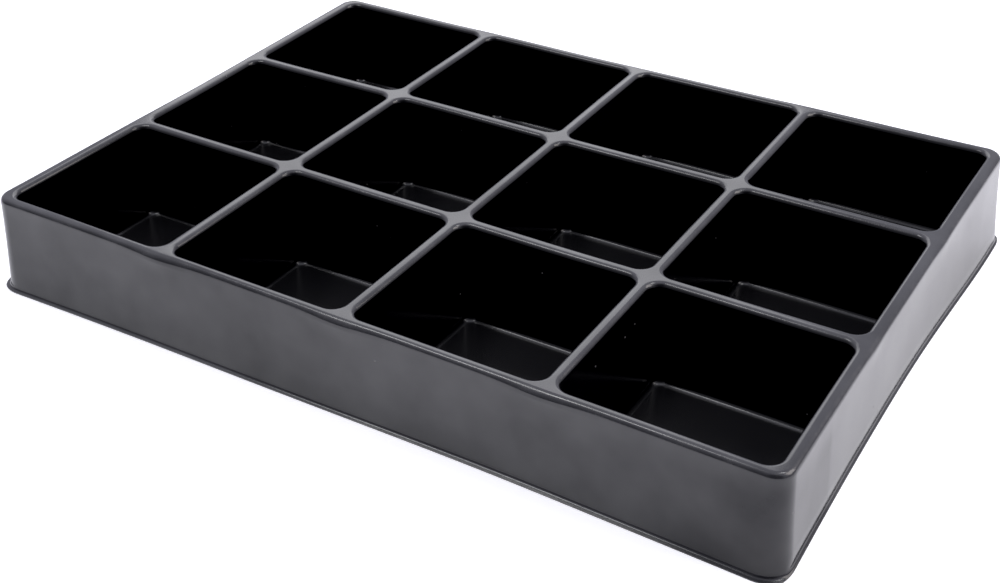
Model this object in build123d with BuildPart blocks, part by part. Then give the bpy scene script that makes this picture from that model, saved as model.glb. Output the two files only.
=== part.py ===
"""Plug tray with twelve pockets, vacuum-formed from one black plastic sheet.

The moulding is divided into its regions, each a closed solid that butts
against its neighbours: the pockets, the ribs between them, the pads where
ribs cross, the rim around the deck, and the skirt with its turned-out foot.

Frame: millimetres, +X along the long side, +Y from front to back, +Z up.
Origin: centre of the base, on the surface that the tray stands on.
"""

import os
from math import radians, tan

from build123d import *

# ---- driving dimensions ----
columns, rows = 4, 3
length = 400.0  # over the foot, along X
width = 290.0  # over the foot, along Y
height = 47.5  # foot to top of rim
sheet = 0.8  # formed sheet thickness

pitch_x, pitch_y = 95.7, 91.6  # pocket to pocket
rib_width = 5.6  # between two openings, at the top
rib_shoulder = 2.6  # radius where a rib's top turns down into a pocket
rib_underside = 1.8  # radius inside that turn
opening_corner = 6.5  # corner radius of an opening, in plan
pocket_draft = 8.0  # degrees from vertical
floor_clearance = 0.5  # under a pocket, when the tray stands
pocket_corner = 5.9  # corner radius of a pocket's walls
floor_fillet = 3.0  # between a pocket's walls and floor, inside

top_length, top_width = 389.4, 279.6  # over the top of the skirt
rim_corner = 8.5  # corner radius of the rim, outside, in plan
rim_shoulder = 2.6  # radius where the rim turns down into the skirt
skirt_draft = 3.8  # degrees from vertical
foot_corner = 13.5  # corner radius of the foot, in plan
foot_fillet = 1.9  # where the skirt turns out into the foot, both faces

deck_depth = 4.0  # ribs and rim reach this far down, then pockets and skirt begin

# ---- derived sizes ----
deck_base = height - deck_depth
opening_x = pitch_x - rib_width
opening_y = pitch_y - rib_width
pad_reach = rib_width / 2 + opening_corner  # centre of a junction to the end of its pad
cut_x = columns / 2 * pitch_x - pad_reach  # sides end and corners begin here
cut_y = rows / 2 * pitch_y - pad_reach
column_x = [(column - (columns - 1) / 2) * pitch_x for column in range(columns)]
row_y = [(row - (rows - 1) / 2) * pitch_y for row in range(rows)]
long_rib_y = [y + pitch_y / 2 for y in row_y[:-1]]
cross_rib_x = [x + pitch_x / 2 for x in column_x[:-1]]

sides = {"front": (0, -1), "back": (0, 1), "left": (-1, 0), "right": (1, 0)}
corners = {
    "front_left": (-1, -1),
    "front_right": (1, -1),
    "back_left": (-1, 1),
    "back_right": (1, 1),
}

os.makedirs("parts", exist_ok=True)


def save(part, name):
    """Labels a finished piece and writes its STEP file."""
    part.label = name
    export_step(part, f"parts/{name}.step")


def save_region(moulding, name, centre, size, low, high):
    """Saves what an upright box, from low to high, holds of a moulding."""
    with BuildPart() as piece:
        add(moulding)
        with BuildSketch(Plane(origin=(*centre, low))):
            Rectangle(*size)
        extrude(amount=high - low, mode=Mode.INTERSECT)
    save(piece.part, name)


# ---- pockets ----
def pocket_block(offset, bottom):
    """A drafted block the shape of a pocket, grown by offset, from deck to bottom."""
    step = deck_depth * tan(radians(pocket_draft)) - offset
    with BuildPart() as block:
        with BuildSketch(Plane.XY.offset(deck_base)):
            Rectangle(opening_x - 2 * step, opening_y - 2 * step)
        extrude(amount=bottom - deck_base, taper=pocket_draft)
        fillet(block.edges().group_by(Axis.Z)[1], pocket_corner + offset)
        fillet(block.faces().sort_by(Axis.Z)[0].edges(), floor_fillet + offset)
    return block.part


with BuildPart() as pocket:
    add(pocket_block(sheet, floor_clearance))
    add(pocket_block(0, floor_clearance + sheet), mode=Mode.SUBTRACT)

for row, y in enumerate(row_y, start=1):
    for column, x in enumerate(column_x, start=1):
        save(pocket.part.moved(Location((x, y, 0))), f"pocket_row{row}_col{column}")


# ---- outer shell: flat top, shoulder, skirt and foot, before it is divided ----
def skirt_reach(level):
    """How far the outside of the skirt stands out, at a level, from its top."""
    return (height - level) * tan(radians(skirt_draft))


with BuildPart() as core:
    reach = skirt_reach(height - sheet) - sheet
    with BuildSketch(Plane.XY.offset(height - sheet)):
        RectangleRounded(top_length + 2 * reach, top_width + 2 * reach, rim_corner + reach)
    extrude(amount=sheet - height, taper=-skirt_draft)
    fillet(core.faces().sort_by(Axis.Z)[-1].edges(), rim_shoulder - sheet)

with BuildPart() as shell:
    with BuildSketch(Plane.XY.offset(height)):
        RectangleRounded(top_length, top_width, rim_corner)
    extrude(amount=-height, taper=-skirt_draft)
    fillet(shell.faces().sort_by(Axis.Z)[-1].edges(), rim_shoulder)
    with BuildSketch():
        RectangleRounded(length, width, foot_corner)
    extrude(amount=sheet)
    foot_top = shell.faces().filter_by(Axis.Z).sort_by(Axis.Z)[1]
    fillet(foot_top.inner_wires()[0].edges(), foot_fillet)
    add(core.part, mode=Mode.SUBTRACT)
    foot_underside = shell.faces().filter_by(Axis.Z).sort_by(Axis.Z)[0]
    fillet(foot_underside.inner_wires()[0].edges(), foot_fillet)

# ---- deck: rim and ribs, before they are divided ----
with BuildPart() as deck:
    add(shell.part)
    with BuildSketch(Plane.XY.offset(deck_base)):
        Rectangle(length, width)
    extrude(amount=deck_depth, mode=Mode.INTERSECT)
    # Collars that carry each opening down to its pocket.
    with BuildSketch(Plane.XY.offset(height)):
        with GridLocations(pitch_x, pitch_y, columns, rows):
            RectangleRounded(
                opening_x + 2 * sheet, opening_y + 2 * sheet, opening_corner + sheet
            )
    extrude(amount=-deck_depth, taper=pocket_draft)
    with BuildSketch(Plane.XY.offset(height)):
        with GridLocations(pitch_x, pitch_y, columns, rows):
            RectangleRounded(opening_x, opening_y, opening_corner)
    extrude(amount=-deck_depth, taper=pocket_draft, mode=Mode.SUBTRACT)
    for opening in deck.faces().sort_by(Axis.Z)[-1].inner_wires():
        fillet(opening.edges(), rib_shoulder)

    for collar in deck.faces().filter_by(Axis.Z).sort_by(Axis.Z)[-2].inner_wires():
        fillet(collar.edges(), rib_underside)

# ---- ribs and the pads where they cross ----
pad = 2 * pad_reach
long_rib = (pitch_x - pad, pad)
cross_rib = (pad, pitch_y - pad)

for number, y in enumerate(long_rib_y, start=1):
    for column, x in enumerate(column_x, start=1):
        name = f"long_rib{number}_col{column}"
        save_region(deck.part, name, (x, y), long_rib, deck_base, height)

for number, x in enumerate(cross_rib_x, start=1):
    for row, y in enumerate(row_y, start=1):
        name = f"cross_rib{number}_row{row}"
        save_region(deck.part, name, (x, y), cross_rib, deck_base, height)
    for long_number, y in enumerate(long_rib_y, start=1):
        name = f"rib_junction{long_number}_{number}"
        save_region(deck.part, name, (x, y), (pad, pad), deck_base, height)

# ---- rim and skirt: four sides and four corners of each ----
edge_x = length / 2 - cut_x  # plan size of a corner's box
edge_y = width / 2 - cut_y
middle_x = cut_x + edge_x / 2
middle_y = cut_y + edge_y / 2

for name, (side_x, side_y) in sides.items():
    centre = (side_x * middle_x, side_y * middle_y)
    size = (edge_x if side_x else 2 * cut_x, edge_y if side_y else 2 * cut_y)
    save_region(deck.part, f"rim_{name}", centre, size, deck_base, height)
    save_region(shell.part, f"skirt_{name}", centre, size, 0, deck_base)

for name, (side_x, side_y) in corners.items():
    centre = (side_x * middle_x, side_y * middle_y)
    size = (edge_x, edge_y)
    save_region(deck.part, f"rim_corner_{name}", centre, size, deck_base, height)
    save_region(shell.part, f"skirt_corner_{name}", centre, size, 0, deck_base)
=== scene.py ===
"""Looks of the plug tray: one vacuum-formed sheet of black plastic.

The sheet's show face is drawn once, seamless, from pocket floors to the edge of
the foot. It is then cut along the CAD nodes' borders and each cutting is given
the sheet's thickness, so neighbours share their border points and shading.
"""

from math import cos, pi, radians, sin, tan

import bpy
import numpy as np
from mathutils import Matrix, Vector


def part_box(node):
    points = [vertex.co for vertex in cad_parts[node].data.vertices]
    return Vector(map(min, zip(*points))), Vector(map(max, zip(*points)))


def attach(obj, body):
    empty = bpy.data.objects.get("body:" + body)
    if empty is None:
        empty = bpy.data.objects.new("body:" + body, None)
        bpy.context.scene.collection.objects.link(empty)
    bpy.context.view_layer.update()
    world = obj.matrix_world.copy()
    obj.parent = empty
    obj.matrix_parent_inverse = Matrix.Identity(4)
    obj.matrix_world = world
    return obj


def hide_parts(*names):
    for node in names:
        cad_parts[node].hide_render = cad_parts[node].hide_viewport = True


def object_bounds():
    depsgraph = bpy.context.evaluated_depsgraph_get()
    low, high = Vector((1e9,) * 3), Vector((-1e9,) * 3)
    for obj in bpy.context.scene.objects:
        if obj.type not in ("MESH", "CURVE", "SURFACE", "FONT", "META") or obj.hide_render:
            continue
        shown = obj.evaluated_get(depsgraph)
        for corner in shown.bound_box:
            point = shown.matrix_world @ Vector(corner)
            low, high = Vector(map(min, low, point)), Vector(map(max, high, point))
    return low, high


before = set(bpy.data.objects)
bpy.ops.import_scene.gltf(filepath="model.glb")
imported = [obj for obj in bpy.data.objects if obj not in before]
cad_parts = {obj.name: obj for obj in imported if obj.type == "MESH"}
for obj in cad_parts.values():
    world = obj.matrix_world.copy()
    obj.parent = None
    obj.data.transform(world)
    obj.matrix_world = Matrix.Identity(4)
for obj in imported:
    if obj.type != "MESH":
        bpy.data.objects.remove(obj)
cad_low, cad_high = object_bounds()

MM = 0.001

# ---- sizes: the large ones from the CAD parts in model.glb, radii as in the part but for a finer foot ----
columns, rows = 4, 3
sheet = 0.8 * MM
pocket_draft = radians(8.0)
skirt_draft = radians(3.8)
opening_corner = 6.5 * MM
pocket_corner = 5.9 * MM
rib_shoulder = 2.6 * MM
floor_fillet = 3.0 * MM
rim_corner = 8.5 * MM
rim_shoulder = 2.6 * MM
foot_corner = 13.5 * MM
foot_bend = 1.7 * MM
foot_edge = 0.65 * MM  # top of the foot's outer edge, where the sheet turns down
foot_fall = 0.3 * MM  # slope of the foot, from the skirt's bend to that edge

first_low, first_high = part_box("pocket_row1_col1")
next_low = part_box("pocket_row2_col2")[0]
rim_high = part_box("rim_right")[1]
front_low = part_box("rim_front")[0]

height = cad_high.z
deck_base = first_high.z
deck_depth = height - deck_base
floor_top = first_low.z + sheet
pitch_x = next_low.x - first_low.x
pitch_y = next_low.y - first_low.y
collar_step = sheet - deck_depth * tan(pocket_draft)
opening_x = first_high.x - first_low.x - 2 * collar_step
opening_y = first_high.y - first_low.y - 2 * collar_step
skirt_step = deck_depth * tan(skirt_draft)
top_x = rim_high.x - skirt_step  # half the length over the top of the skirt
top_y = -front_low.y - skirt_step
foot_x, foot_y = cad_high.x, cad_high.y

# ---- fineness of the mesh ----
side_steps = 20  # along a pocket's side
corner_steps = 14  # round a corner, an even number
cell_steps = side_steps + corner_steps
half_corner = corner_steps // 2

column_x = [(column - (columns - 1) / 2) * pitch_x for column in range(columns)]
row_y = [(row - (rows - 1) / 2) * pitch_y for row in range(rows)]
straight_x = opening_x / 2 - opening_corner  # half the straight part of a pocket's side
straight_y = opening_y / 2 - opening_corner


# ---- profiles, as pairs of a distance in plan and a height ----
def arc(centre, radius, start, end, steps):
    """Points round an arc of a profile, both ends included, angles in radians."""
    turn = np.linspace(start, end, steps + 1)
    return [(centre[0] + radius * cos(a), centre[1] + radius * sin(a)) for a in turn]


def line(start, end, steps):
    """Points between two ends of a profile, ends left out."""
    share = np.linspace(0, 1, steps + 1)[1:-1]
    return [tuple(np.array(start) * (1 - s) + np.array(end) * s) for s in share]


def pocket_profile():
    """From the top of a rib down a pocket's wall to its floor.

    Returns (inset, corner radius, height) for each point, with the inset measured
    from the opening's outline, and the number of the point on the deck's border.
    """
    lean = (1 - sin(pocket_draft)) / cos(pocket_draft)
    top = arc((-rib_shoulder * lean, height - rib_shoulder), rib_shoulder, pi / 2, pocket_draft, 9)
    border = (deck_depth * tan(pocket_draft), deck_base)
    bend_z = floor_top + floor_fillet
    wall_there = (height - bend_z) * tan(pocket_draft)
    bend = (wall_there + floor_fillet / cos(pocket_draft), bend_z)
    bottom = arc(bend, floor_fillet, pi + pocket_draft, 1.5 * pi, 8)
    upper = top + line(top[-1], border, 2) + [border]
    walls = line(border, bottom[0], 10)
    made = [(inset, opening_corner - inset, z) for inset, z in upper]
    made += [(inset, pocket_corner, z) for inset, z in walls]
    made += [(inset, pocket_corner - inset + bottom[0][0], z) for inset, z in bottom]
    return made, len(upper) - 1


def skirt_profile():
    """From the flat of the rim over its shoulder, down the skirt and out the foot.

    Returns the profile and the number of its point on the deck's lower border.
    """
    lean = (1 - sin(skirt_draft)) / cos(skirt_draft)
    shoulder = (rim_corner - rim_shoulder * lean, height - rim_shoulder)
    foot_turn = radians(255)  # where the bend gives way to the sloping foot
    bend_z = foot_edge + foot_fall - foot_bend * sin(foot_turn)
    wall_there = rim_corner + (height - bend_z) * tan(skirt_draft)
    bend = (wall_there + foot_bend / cos(skirt_draft), bend_z)
    top = arc(shoulder, rim_shoulder, pi / 2, skirt_draft, 9)
    bottom = arc(bend, foot_bend, pi + skirt_draft, foot_turn, 6)
    border = (rim_corner + skirt_step, deck_base)
    upper = top + line(top[-1], border, 2)
    return upper + [border] + line(border, bottom[0], 12) + bottom, len(upper)


# ---- the show face ----
points, skirt_share, edge_share, inside_share = [], [], [], []
regions = {}


def add_point(x, y, z, on_skirt=0.0, on_edge=0.0, in_pocket=0.0):
    """Adds a point of the show face and returns its number."""
    points.append((x, y, z))
    skirt_share.append(on_skirt)
    edge_share.append(on_edge)
    inside_share.append(in_pocket)
    return len(points) - 1


def add_strip(inner, outer, name_of):
    """Faces between two lines of points that run anticlockwise, seen from above."""
    for k in range(len(inner) - 1):
        face = [inner[k], outer[k], outer[k + 1], inner[k + 1]]
        kept = [p for n, p in enumerate(face) if p not in face[:n]]
        regions.setdefault(name_of(k), []).append(kept)


def outline(stations_x, stations_y, centre_x, centre_y, radius, corner_turns):
    """A rounded rectangle's points, anticlockwise from the front side's left end."""
    reach_x, reach_y = centre_x + radius, centre_y + radius
    front = [(x, -reach_y) for x in stations_x]
    right = [(reach_x, y) for y in stations_y]
    back = [(-x, reach_y) for x in stations_x]
    left = [(-reach_x, -y) for y in stations_y]
    signs = [(1, -1), (1, 1), (-1, 1), (-1, -1)]
    made = []
    for number, side in enumerate((front, right, back, left)):
        sign_x, sign_y = signs[number]
        first = (number - 1) * pi / 2
        made += side
        made += [
            (
                sign_x * centre_x + radius * cos(first + turn),
                sign_y * centre_y + radius * sin(first + turn),
            )
            for turn in corner_turns
        ]
    return made


def side_stations(centres, straight):
    """Places along one side of the rim, opposite the points of its pockets."""
    made = []
    for centre in centres:
        made += list(np.linspace(centre - straight, centre + straight, side_steps + 1))
    gaps = []
    for k, centre in enumerate(centres[:-1]):
        gap = np.linspace(centre + straight, centres[k + 1] - straight, corner_steps + 1)
        gaps += list(gap[1:-1])
    return sorted(made + gaps)


rim_x, rim_y = side_stations(column_x, straight_x), side_stations(row_y, straight_y)


def rim_loop(centre_x, centre_y, radius, z, on_edge=0.0):
    """A closed line of points round the tray, from the middle of the front left corner."""
    turns = np.linspace(0, pi / 2, corner_steps - 1)
    flat = outline(rim_x, rim_y, centre_x, centre_y, radius, turns)
    loop = [add_point(x, y, z, 1.0, on_edge) for x, y in flat]
    return loop[-half_corner:] + loop[:-half_corner]


def pocket_loop(x, y, inset, radius, z, on_edge, in_pocket):
    """A closed line of points round a pocket, from the left end of its front side."""
    turns = np.linspace(0, pi / 2, corner_steps + 1)[1:-1]
    end_x, end_y = opening_x / 2 - inset - radius, opening_y / 2 - inset - radius
    along_x = np.linspace(-end_x, end_x, side_steps + 1)
    along_y = np.linspace(-end_y, end_y, side_steps + 1)
    flat = outline(along_x, along_y, end_x, end_y, radius, turns)
    return [add_point(x + px, y + py, z, 0.0, on_edge, in_pocket) for px, py in flat]


def edge_name(kind, step):
    """The rim's or skirt's node at a step round the tray."""
    ends = np.cumsum([0, columns, rows, columns, rows]) * cell_steps
    names = ["front_left", "front_right", "back_right", "back_left", "front_left"]
    for end, name in zip(ends, names):
        if end - half_corner <= step < end + half_corner:
            return f"{kind}_corner_{name}"
    side = np.searchsorted(ends, step, side="right") - 1
    return f"{kind}_" + ("front", "right", "back", "left")[side]


def crossing_name(line_x, line_y):
    """The node that holds the crossing of two grid lines, counted from the front left."""
    on_side, on_front = line_x in (0, columns), line_y in (0, rows)
    side = "left" if line_x == 0 else "right"
    front = "front" if line_y == 0 else "back"
    if on_side and on_front:
        return f"rim_corner_{front}_{side}"
    if on_side:
        return f"rim_{side}"
    if on_front:
        return f"rim_{front}"
    return f"rib_junction{line_y}_{line_x}"


def deck_name(column, row, step):
    """The deck's node beside a step round a pocket."""
    side, place = divmod(step, cell_steps)
    if place >= side_steps:
        line_x = column + (side in (0, 1))
        line_y = row + (side in (1, 2))
        return crossing_name(line_x, line_y)
    if side in (0, 2):
        line_y = row + (side == 2)
        if line_y in (0, rows):
            return crossing_name(1, line_y)
        return f"long_rib{line_y}_col{column + 1}"
    line_x = column + (side == 1)
    if line_x in (0, columns):
        return crossing_name(line_x, 1)
    return f"cross_rib{line_x}_row{row + 1}"


# Rim, skirt and foot.
profile, border_at = skirt_profile()
centre_x, centre_y = top_x - rim_corner, top_y - rim_corner
loops = []
for number, (reach, z) in enumerate(profile):
    worn = 1.0 if 2 <= number <= 7 else 0.0
    loops.append(rim_loop(centre_x, centre_y, reach, z, worn))
for share in (0.35, 0.7, 1.0):
    low_reach, low_z = profile[-1]
    loops.append(
        rim_loop(
            centre_x + (foot_x - foot_corner - centre_x) * share,
            centre_y + (foot_y - foot_corner - centre_y) * share,
            low_reach + (foot_corner - low_reach) * share,
            low_z + (foot_edge - low_z) * share,
            share,
        )
    )
for number in range(len(loops) - 1):
    kind = "rim" if number < border_at else "skirt"
    inner = loops[number] + loops[number][:1]
    outer = loops[number + 1] + loops[number + 1][:1]
    add_strip(inner, outer, lambda k: edge_name(kind, k))
rim_flat = loops[0] + loops[0][:1]

# Middle lines of the ribs, with the rim as the outermost grid lines.
turning = [0, columns, columns + rows, 2 * columns + rows, 2 * (columns + rows)]
first, second, third, fourth, last = [n * cell_steps for n in turning]
front_line, right_line = rim_flat[first : second + 1], rim_flat[second : third + 1]
back_line, left_line = rim_flat[third : fourth + 1][::-1], rim_flat[fourth : last + 1][::-1]


def grid_stations(centres, straight, start, end):
    """Places along a grid line: half pad, rib, half pad for each pocket beside it."""
    made = [start]
    for number, centre in enumerate(centres):
        low, high = centre - straight, centre + straight
        inside = number + 1 < len(centres)
        stop = (centre + centres[number + 1]) / 2 if inside else end
        made += list(np.linspace(made[-1], low, half_corner + 1)[1:])
        made += list(np.linspace(low, high, side_steps + 1)[1:])
        made += list(np.linspace(high, stop, half_corner + 1)[1:])
    return made


flat_x, flat_y = centre_x + profile[0][0], centre_y + profile[0][0]
along_x = grid_stations(column_x, straight_x, -flat_x, flat_x)
along_y = grid_stations(row_y, straight_y, -flat_y, flat_y)

rib_y = [y + pitch_y / 2 for y in row_y[:-1]]
rib_x = [x + pitch_x / 2 for x in column_x[:-1]]
across = [front_line]
for number, y in enumerate(rib_y, start=1):
    made = [add_point(x, y, height) for x in along_x[1:-1]]
    across.append([left_line[number * cell_steps], *made, right_line[number * cell_steps]])
across.append(back_line)
upward = [left_line]
for number, x in enumerate(rib_x, start=1):
    made = []
    for step, y in enumerate(along_y):
        crossed, past = divmod(step, cell_steps)
        made.append(add_point(x, y, height) if past else across[crossed][number * cell_steps])
    upward.append(made)
upward.append(right_line)

# Ribs and pockets.
profile, border_at = pocket_profile()
for row, y in enumerate(row_y):
    for column, x in enumerate(column_x):
        pocket = f"pocket_row{row + 1}_col{column + 1}"
        start_x, start_y = column * cell_steps, row * cell_steps
        ring = across[row][start_x : start_x + cell_steps]
        ring += upward[column + 1][start_y : start_y + cell_steps]
        ring += across[row + 1][start_x + 1 : start_x + cell_steps + 1][::-1]
        ring += upward[column][start_y + 1 : start_y + cell_steps + 1][::-1]
        ring = ring[half_corner:] + ring[:half_corner]
        outer = ring + ring[:1]
        for number, (inset, radius, z) in enumerate(profile):
            worn = 1.0 if 2 <= number <= 5 else 0.0
            in_pocket = min(max((number - 3) / 5, 0.0), 1.0)
            loop = pocket_loop(x, y, inset, radius, z, worn, in_pocket)
            inner = loop + loop[:1]
            if number <= border_at:
                add_strip(inner, outer, lambda k: deck_name(column, row, k))
            else:
                add_strip(inner, outer, lambda k: pocket)
            outer = inner
        # The floor: a grid whose corners each close one corner's fan.
        end_x, end_y = opening_x / 2 - inset - radius, opening_y / 2 - inset - radius
        grid_x = np.linspace(x - end_x, x + end_x, side_steps + 1)
        grid_y = np.linspace(y - end_y, y + end_y, side_steps + 1)
        floor = [[add_point(gx, gy, floor_top, in_pocket=1.0) for gx in grid_x] for gy in grid_y]
        edges = [floor[0], [r[-1] for r in floor], floor[-1][::-1], [r[0] for r in floor][::-1]]
        inner = []
        for edge in edges:
            inner += edge + [edge[-1]] * (corner_steps - 1)
        add_strip(inner + inner[:1], outer, lambda k: pocket)
        for low, high in zip(floor[:-1], floor[1:]):
            add_strip(high, low, lambda k: pocket)


# ---- unevenness of a formed sheet ----
def waves(a, b, length, seed):
    """Soft unevenness between about -1 and 1, with waves of about that length."""
    picks = np.random.default_rng(seed)
    total = np.zeros_like(a)
    for _ in range(6):
        heading, phase = picks.uniform(0, 2 * pi, 2)
        stretch = picks.uniform(0.7, 1.4)
        run = a * cos(heading) + b * sin(heading)
        total += np.sin(2 * pi * run / (length * stretch) + phase)
    return total / 3


def bump(along, centre, spread):
    """One at a centre, falling off softly on both sides of it."""
    return np.exp(-(((along - centre) / spread) ** 2))


place = np.array(points)
x, y, z = place.T.copy()
on_skirt = np.array(skirt_share)
in_pockets = 1 - on_skirt
down = 1 - z / height
share_x, share_y = x / foot_x, y / foot_y
span_x, span_y = 1 - share_x**2, 1 - share_y**2
sideways = np.clip((np.abs(x) - centre_x) / rim_corner, 0, 1) * on_skirt
endways = np.clip((np.abs(y) - centre_y) / rim_corner, 0, 1) * on_skirt
on_right, on_front = sideways * (x > 0), endways * (y < 0)

# The skirt's sides are drawn in between their corners, with shallow dents.
side_bow = {"right": 1.9 * MM, "left": 1.6 * MM, "front": 1.8 * MM, "back": 1.2 * MM}
dent_depth = 0.5 * MM
bow_x = np.where(x > 0, side_bow["right"], side_bow["left"])
bow_y = np.where(y < 0, side_bow["front"], side_bow["back"])
dent = bump(x, 75 * MM, 50 * MM) - bump(x, -40 * MM, 60 * MM)
place[:, 0] -= np.sign(x) * bow_x * span_y * down * sideways
place[:, 1] -= np.sign(y) * bow_y * span_x * down * endways
place[:, 1] -= np.sign(y) * dent_depth * dent * down * endways

# The right side flares, and more so towards the back.
flare, back_flare, back_bulge = 0.25 * MM, 0.45 * MM, 6.0 * MM
rear = np.clip(share_y, 0, 1) ** 2
flared = flare + back_flare * share_y + back_bulge * rear * (1 - rear)
place[:, 0] += flared * down * on_right

# The foot is narrower along the right side and the left of the front.
foot_width, foot_level = 3.2 * MM, 2.5 * MM
right_trim, right_fill, front_fill = 0.5 * MM, 1.0 * MM, 0.9 * MM
foot_right = np.clip((np.abs(x) - (foot_x - foot_width)) / foot_width, 0, 1) * (z < foot_level)
foot_front = np.clip((np.abs(y) - (foot_y - foot_width)) / foot_width, 0, 1) * (z < foot_level)
leftward = np.clip(0.5 - share_x, 0, 1)
place[:, 0] -= right_trim * foot_right * on_right
place[:, 0] += right_fill * down**2 * (1 - foot_right) * on_right
place[:, 1] -= front_fill * leftward * down**2 * (1 - foot_front) * on_front

# The corners stand out a little from the long lines of the rim.
corner_reach, level_share = 1.0 * MM, 0.35
place[:, 0] += corner_reach * share_x**3 * (share_y**2 - level_share)
place[:, 1] += corner_reach * share_y**3 * (share_x**2 - level_share)

# Two opposite corners of the deck stand up a little.
corner_lift = 1.0 * MM
place[:, 2] += corner_lift * np.clip(share_x * share_y, 0, 1) * (1 - down)

# The right side's rim leans outwards.
rim_width, rim_sag = 6.1 * MM, 1.2 * MM
lean = np.clip((x - (top_x - rim_width)) / rim_width, 0, 1) * span_y
place[:, 2] -= rim_sag * lean * np.clip((z - deck_base) / deck_depth, 0, 1)

# Under the rim, the skirt stands out where a rib meets it.
front_knuckle, side_knuckle = 1.0 * MM, 0.25 * MM
under_rim = bump(height - z, 3.4 * MM, 2.6 * MM)
for rib in rib_x:
    knuckle = front_knuckle * under_rim * bump(x, rib, 15 * MM)
    place[:, 1] += np.sign(y) * knuckle * endways
for rib in rib_y:
    knuckle = side_knuckle * under_rim * bump(y, rib, 9 * MM)
    place[:, 0] += np.sign(x) * knuckle * sideways

# Ripples in the skirt, crowned floors, and ribs that wander and dip.
ripple_depth, crown_height, wander, dip = 0.10 * MM, 0.35 * MM, 0.20 * MM, 0.12 * MM
ripple = ripple_depth * np.clip(down * 4, 0, 1) * np.clip((1 - down) * 6, 0, 1)
place[:, 0] -= np.sign(x) * ripple * sideways * (1 + waves(y, z, 60 * MM, 1))
place[:, 1] -= np.sign(y) * ripple * endways * (1 + waves(x, z, 60 * MM, 2))

cell_x = (x / pitch_x + columns / 2) % 1 * 2 - 1
cell_y = (y / pitch_y + rows / 2) % 1 * 2 - 1
crown = np.clip(1 - cell_x**2, 0, 1) * np.clip(1 - cell_y**2, 0, 1)
near_floor = np.clip(down * 8 - 6.8, 0, 1)
place[:, 2] += crown_height * crown * in_pockets * near_floor
place[:, 0] += wander * waves(x, y, 150 * MM, 3) * in_pockets
place[:, 1] += wander * waves(x, y, 150 * MM, 4) * in_pockets
place[:, 2] -= dip * (1 + waves(x, y, 110 * MM, 5)) * (1 - down)

# Duller skirt: at the front's right end, at its left end, and along the right side.
dull_right, dull_left, dull_side = 0.55, 0.22, 0.22
front_skirt, right_skirt = (y < row_y[0]) * on_skirt, (x > column_x[-1]) * on_skirt
dull_share = dull_right * bump(x, 192 * MM, 44 * MM) * front_skirt
dull_share += dull_left * bump(x, -200 * MM, 70 * MM) * front_skirt
dull_share += dull_side * np.clip(share_y + 0.2, 0, 1) * right_skirt
dull_share *= np.clip(down * 5, 0, 1)


# ---- shading normals of the whole face ----
def face_vector(corners):
    """A face's normal, as long as twice its area."""
    spots = place[corners]
    following = np.roll(spots, -1, axis=0)
    return np.cross(spots, following).sum(axis=0)


normals = np.zeros_like(place)
for faces in regions.values():
    for face in faces:
        normals[face] += face_vector(face)
normals /= np.linalg.norm(normals, axis=1)[:, None]
under = place - normals * sheet


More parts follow.
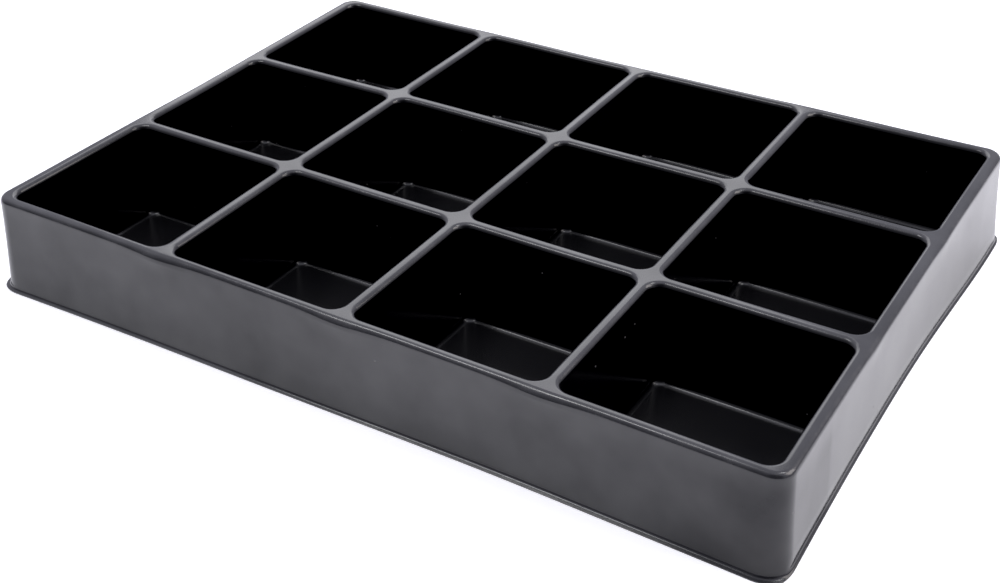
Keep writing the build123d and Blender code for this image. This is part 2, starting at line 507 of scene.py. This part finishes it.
# ---- materials ----
def black_plastic():
    """Satin black polystyrene, with cloudy colour and gloss, fine grain, rubbed edges and dust.

    It is less glossy down in the pockets, and duller on their floors; its colour there is painted
    shade, darkest on the walls and lighter on the floors.
    """
    material = bpy.data.materials.new("satin_black_polystyrene")
    material.use_nodes = True
    nodes, links = material.node_tree.nodes, material.node_tree.links
    shader = nodes["Principled BSDF"]
    shader.inputs["IOR"].default_value = 1.57
    where = nodes.new("ShaderNodeTexCoord").outputs["Object"]

    def noise(scale, detail=2.0, rough=0.5):
        node = nodes.new("ShaderNodeTexNoise")
        node.inputs["Scale"].default_value = scale
        node.inputs["Detail"].default_value = detail
        node.inputs["Roughness"].default_value = rough
        links.new(where, node.inputs["Vector"])
        return node.outputs["Fac"]

    def spread(value, low, high, to_low, to_high):
        node = nodes.new("ShaderNodeMapRange")
        node.inputs["From Min"].default_value = low
        node.inputs["From Max"].default_value = high
        node.inputs["To Min"].default_value = to_low
        node.inputs["To Max"].default_value = to_high
        links.new(value, node.inputs["Value"])
        return node.outputs["Result"]

    def maths(operation, a, b):
        node = nodes.new("ShaderNodeMath")
        node.operation = operation
        for socket, value in zip(node.inputs, (a, b)):
            if isinstance(value, (int, float)):
                socket.default_value = value
            else:
                links.new(value, socket)
        return node.outputs["Value"]

    def mixed(share, a, b):
        node = nodes.new("ShaderNodeMix")
        node.data_type = "RGBA"
        links.new(share, node.inputs["Factor"])
        for socket, value in ((node.inputs["A"], a), (node.inputs["B"], b)):
            if isinstance(value, tuple):
                socket.default_value = value
            else:
                links.new(value, socket)
        return node.outputs["Result"]

    # Dust: a few cells of a fine mosaic each hold one speck.
    mosaic = nodes.new("ShaderNodeTexVoronoi")
    mosaic.inputs["Scale"].default_value = 260
    links.new(where, mosaic.inputs["Vector"])
    chosen = nodes.new("ShaderNodeSeparateColor")
    links.new(mosaic.outputs["Color"], chosen.inputs["Color"])
    near = spread(mosaic.outputs["Distance"], 0.05, 0.12, 1.0, 0.0)
    rare = spread(chosen.outputs["Red"], 0.965, 0.975, 0.0, 1.0)
    patchy = spread(noise(14, 2), 0.45, 0.65, 0.0, 1.0)
    dust = maths("MULTIPLY", maths("MULTIPLY", near, rare), patchy)

    def attribute(name):
        node = nodes.new("ShaderNodeAttribute")
        node.attribute_name = name
        return node.outputs["Fac"]

    def between(share, a, b):
        """Numbers from a to b, as the share goes from none to all."""
        return spread(share, 0.0, 1.0, a, b)

    inside = attribute("inside")
    split = nodes.new("ShaderNodeSeparateXYZ")
    links.new(where, split.inputs["Vector"])
    on_floor = maths("MULTIPLY", inside, spread(split.outputs["Z"], 0.0014, 0.0024, 1.0, 0.0))
    rubbed = maths("MULTIPLY", attribute("edge"), spread(noise(90, 4, 0.7), 0.4, 0.75, 0.0, 1.0))

    outer_dark, outer_light = (0.006, 0.006, 0.0075, 1.0), (0.012, 0.012, 0.0145, 1.0)
    # Painted shade: the pocket colours are much darker than the outside's, standing in for the
    # shade down in the pockets.
    pocket_shade_dark, pocket_shade_light = (0.0012, 0.0012, 0.0014, 1.0), (0.0025, 0.0025, 0.0028, 1.0)
    # The floors' colour is a lighter painted shade than the walls', close to the outside's own
    # colour, as light reaches the floors from above.
    floor_shade_lighter, rubbed_grey = (0.0075, 0.0075, 0.0080, 1.0), (0.022, 0.022, 0.024, 1.0)
    dust_grey = (0.16, 0.155, 0.15, 1.0)
    clouds = spread(noise(9, 4), 0.3, 0.7, 0.0, 1.0)
    outer = mixed(clouds, outer_dark, outer_light)
    inner = mixed(clouds, pocket_shade_dark, pocket_shade_light)
    # Mixes in the painted shade: the darker pocket colour on the pockets' walls, the lighter one
    # on their floors.
    colour_with_pocket_shade = mixed(on_floor, mixed(inside, outer, inner), floor_shade_lighter)
    worn = mixed(rubbed, colour_with_pocket_shade, rubbed_grey)
    links.new(mixed(dust, worn, dust_grey), shader.inputs["Base Color"])

    gloss = maths("ADD", between(inside, 0.5, 0.22), between(on_floor, 0.0, 0.24))
    blotches = spread(noise(28, 3, 0.6), 0.3, 0.7, 0.8, 1.2)
    patches = maths("MULTIPLY", between(clouds, 0.9, 1.1), blotches)
    scuffs = between(noise(60, 2), 0.5, 1.1)
    dull = maths("SUBTRACT", 1.0, maths("MULTIPLY", attribute("dull"), scuffs))
    gloss = maths("MULTIPLY", gloss, maths("MULTIPLY", patches, dull))
    links.new(gloss, shader.inputs["Specular IOR Level"])

    smooth = maths("ADD", between(noise(45, 4, 0.6), 0.10, 0.24), between(on_floor, 0.0, 0.12))
    smooth = maths("ADD", smooth, between(inside, 0.0, -0.06))
    rough = maths("ADD", smooth, maths("MULTIPLY", rubbed, 0.10))
    links.new(maths("ADD", rough, maths("MULTIPLY", dust, 0.4)), shader.inputs["Roughness"])

    grain = nodes.new("ShaderNodeBump")
    grain.inputs["Distance"].default_value = 0.00003
    grain.inputs["Strength"].default_value = 0.5
    coarse = maths("MULTIPLY", noise(260, 3), 0.8)
    links.new(maths("ADD", noise(1400, 2), coarse), grain.inputs["Height"])
    links.new(grain.outputs["Normal"], shader.inputs["Normal"])
    return material


plastic = black_plastic()


# ---- pieces ----
def build_piece(node, faces):
    """One closed piece of the sheet, standing for the CAD node of that name."""
    used = sorted({p for face in faces for p in face})
    number = {p: n for n, p in enumerate(used)}
    count = len(used)
    show = [[number[p] for p in face] for face in faces]
    hidden = [[p + count for p in reversed(face)] for face in show]
    sides = {(a, b) for face in show for a, b in zip(face, face[1:] + face[:1])}
    cut = sorted((a, b) for a, b in sides if (b, a) not in sides)
    rim = [[b, a, a + count, b + count] for a, b in cut]

    mesh = bpy.data.meshes.new(f"formed_{node}")
    spots = np.concatenate([place[used], under[used]])
    mesh.from_pydata(spots.tolist(), [], show + hidden + rim)
    mesh.polygons.foreach_set("use_smooth", [True] * len(mesh.polygons))
    for label, share in (("edge", edge_share), ("inside", inside_share), ("dull", dull_share)):
        values = np.tile(np.array(share)[used], 2).astype(np.float32)
        mesh.attributes.new(label, "FLOAT", "POINT").data.foreach_set("value", values)
    mesh.update()

    shading = np.concatenate([normals[used], -normals[used]])
    corner_normals = []
    for polygon in mesh.polygons:
        if polygon.index < 2 * len(show):
            corner_normals += [shading[p] for p in polygon.vertices]
        else:
            corner_normals += [polygon.normal] * polygon.loop_total
    mesh.normals_split_custom_set(corner_normals)

    mesh.materials.append(plastic)
    piece = bpy.data.objects.new(f"formed_{node}", mesh)
    bpy.context.scene.collection.objects.link(piece)
    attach(piece, "root")
    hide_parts(node)


for node in sorted(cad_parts):
    build_piece(node, regions[node])


# ---- floor, light and camera ----
def pale_floor():
    """A plain pale floor under the tray, wide enough to fill the view."""
    reach = 6.0
    mesh = bpy.data.meshes.new("studio_floor")
    ends = [(-reach, -reach, 0), (reach, -reach, 0), (reach, reach, 0), (-reach, reach, 0)]
    mesh.from_pydata(ends, [], [(0, 1, 2, 3)])
    material = bpy.data.materials.new("pale_floor")
    material.use_nodes = True
    shader = material.node_tree.nodes["Principled BSDF"]
    shader.inputs["Base Color"].default_value = (0.85, 0.85, 0.88, 1.0)
    shader.inputs["Roughness"].default_value = 0.9
    shader.inputs["Specular IOR Level"].default_value = 0.1
    shader.inputs["Emission Color"].default_value = (1.0, 1.0, 1.0, 1.0)
    shader.inputs["Emission Strength"].default_value = 0.45
    mesh.materials.append(material)
    floor = bpy.data.objects.new("studio_floor", mesh)
    floor.location.z = cad_low.z
    bpy.context.scene.collection.objects.link(floor)


def soft_light(name, place, size, radiance, target=None, colour=(1.0, 1.0, 1.0)):
    """A soft box that faces a target, or straight down, and is as bright as its radiance."""
    data = bpy.data.lights.new(name, "AREA")
    data.shape = "RECTANGLE"
    data.size, data.size_y = size
    data.energy = radiance * pi * size[0] * size[1]
    data.color = colour
    lamp = bpy.data.objects.new(name, data)
    lamp.location = place
    if target:
        aim = Vector(target) - Vector(place)
        lamp.rotation_euler = aim.to_track_quat("-Z", "Y").to_euler()
    bpy.context.scene.collection.objects.link(lamp)


def studio_world(horizon, ceiling, front, camera_side):
    """A white room, lighter towards its ceiling and darker towards the front.

    It is darkest about the camera, where the photographer stands.
    """
    world = bpy.data.worlds.new("studio")
    world.use_nodes = True
    nodes, links = world.node_tree.nodes, world.node_tree.links

    def ramp(value, low, high, at_low, at_high):
        node = nodes.new("ShaderNodeMapRange")
        node.interpolation_type = "SMOOTHSTEP"
        node.inputs["From Min"].default_value = low
        node.inputs["From Max"].default_value = high
        node.inputs["To Min"].default_value = at_low
        node.inputs["To Max"].default_value = at_high
        links.new(value, node.inputs["Value"])
        return node.outputs["Result"]

    def product(a, b):
        node = nodes.new("ShaderNodeMath")
        node.operation = "MULTIPLY"
        links.new(a, node.inputs[0])
        links.new(b, node.inputs[1])
        return node.outputs["Value"]

    heading = nodes.new("ShaderNodeTexCoord").outputs["Generated"]
    split = nodes.new("ShaderNodeSeparateXYZ")
    links.new(heading, split.inputs["Vector"])
    toward = nodes.new("ShaderNodeVectorMath")
    toward.operation = "DOT_PRODUCT"
    toward.inputs[1].default_value = (0.43, -0.72, 0.55)
    links.new(heading, toward.inputs[0])

    rise = ramp(split.outputs["Z"], 0.1, 0.8, horizon, ceiling)
    ahead = ramp(split.outputs["Y"], -0.9, 0.0, front, 1.0)
    behind = ramp(toward.outputs["Value"], 0.75, 0.97, 1.0, camera_side)
    backdrop = nodes["Background"]
    backdrop.inputs["Color"].default_value = (0.955, 0.955, 1.09, 1.0)
    links.new(product(product(rise, ahead), behind), backdrop.inputs["Strength"])
    bpy.context.scene.world = world


pale_floor()
studio_world(0.75, 1.3, 0.4, 0.2)
middle, warm = (0, 0, 0), (1.0, 0.93, 0.89)
soft_light("back_softbox", (-0.46, 0.70, 0.60), (0.75, 0.60), 1.6, middle)
soft_light("top_softbox", (-0.385, -0.33, 1.0), (0.53, 0.16), 9.0)
soft_light("right_softbox", (0.45, 0.19, 1.0), (0.20, 0.20), 9.0)
soft_light("side_softbox", (0.9, 0.35, 0.75), (0.8, 0.6), 4.0, middle, warm)
view = bpy.context.scene.view_settings
view.view_transform = "Standard"
view.use_curve_mapping = True
view.curve_mapping.black_level = (0.002, 0.002, 0.002)
view.curve_mapping.update()


def aim_camera(target, distance, azimuth, elevation, roll, lens):
    """A camera that looks at a target, turned about its own line of sight by roll."""
    back = Vector((sin(azimuth) * cos(elevation), -cos(azimuth) * cos(elevation), sin(elevation)))
    right = Vector((0, 0, 1)).cross(back).normalized()
    up = back.cross(right)
    turned_right = right * cos(roll) + up * sin(roll)
    turned_up = up * cos(roll) - right * sin(roll)
    data = bpy.data.cameras.new("camera")
    data.sensor_width = 36.0
    data.lens = lens
    data.clip_start, data.clip_end = 0.01, 50.0
    camera = bpy.data.objects.new("camera", data)
    turn = Matrix((turned_right, turned_up, back)).transposed().to_4x4()
    camera.matrix_world = Matrix.Translation(target + back * distance) @ turn
    bpy.context.scene.collection.objects.link(camera)
    bpy.context.scene.camera = camera


aim_camera(
    target=Vector((0.04677, -0.08754, 0.0466)),
    distance=0.6074,
    azimuth=radians(31.21),
    elevation=radians(33.40),
    roll=radians(-0.447),
    lens=52.49,
)
